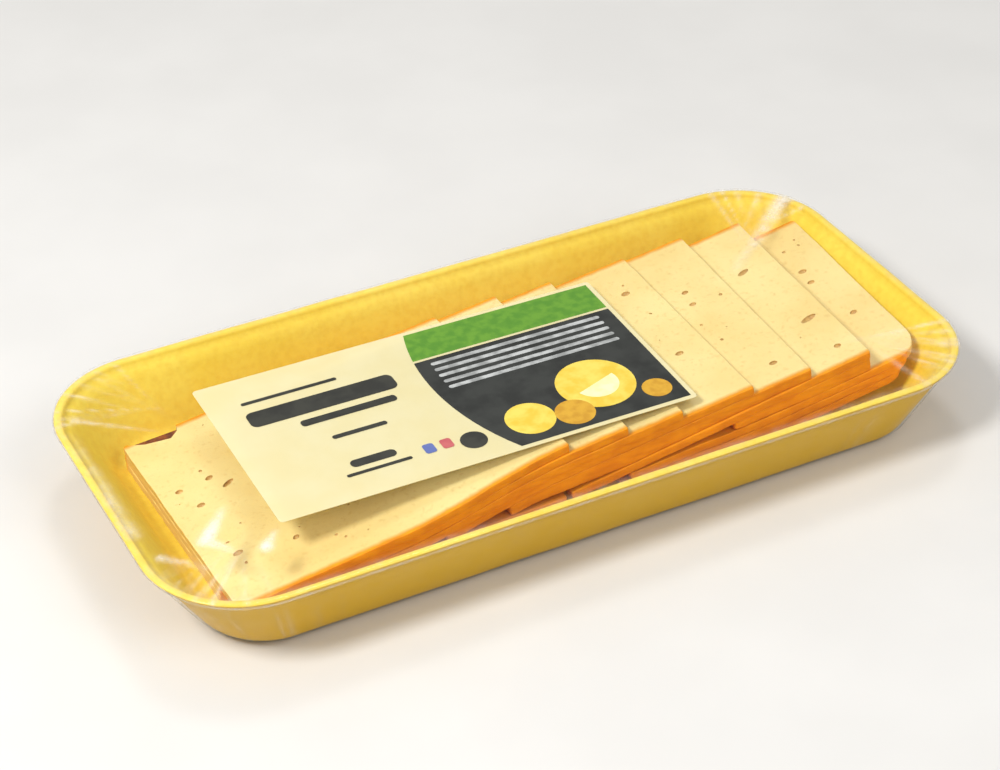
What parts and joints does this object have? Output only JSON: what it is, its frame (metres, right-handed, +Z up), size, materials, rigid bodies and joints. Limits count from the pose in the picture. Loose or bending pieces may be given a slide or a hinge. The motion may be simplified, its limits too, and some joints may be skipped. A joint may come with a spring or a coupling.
{
  "type": "tray of raclette cheese slices",
  "caption": "Shallow yellow foam tray of shingled raclette cheese slices, closed with clear stretch film that carries a flat label; it rests flat on its base.",
  "frame": {"origin": "on the surface the pack stands on, under the middle of the tray", "axes": "+X along the tray towards the low end of the shingle, -Y the near long side, +Z up"},
  "size_m": [0.2608, 0.126, 0.0267],
  "materials": {
    "foam": "expanded foam with a faint cell texture, satin",
    "cheese": "smooth cut cheese with small eyes, slightly waxy; orange washed rind on both long edges",
    "film": "clear stretch film, glossy, creased at the corners",
    "label": "thin cream label, slightly glossy, with plain fields and bars of colour"
  },
  "bodies": {
    "root": {"tray": "foam", "slice_1": "cheese", "slice_2": "cheese", "slice_3": "cheese", "slice_4": "cheese", "slice_5": "cheese", "slice_6": "cheese", "slice_7": "cheese", "slice_8": "cheese", "slice_9": "cheese", "slice_10": "cheese", "slice_11": "cheese", "slice_12": "cheese", "film": "film", "label": "label"}
  },
  "joints": []
}
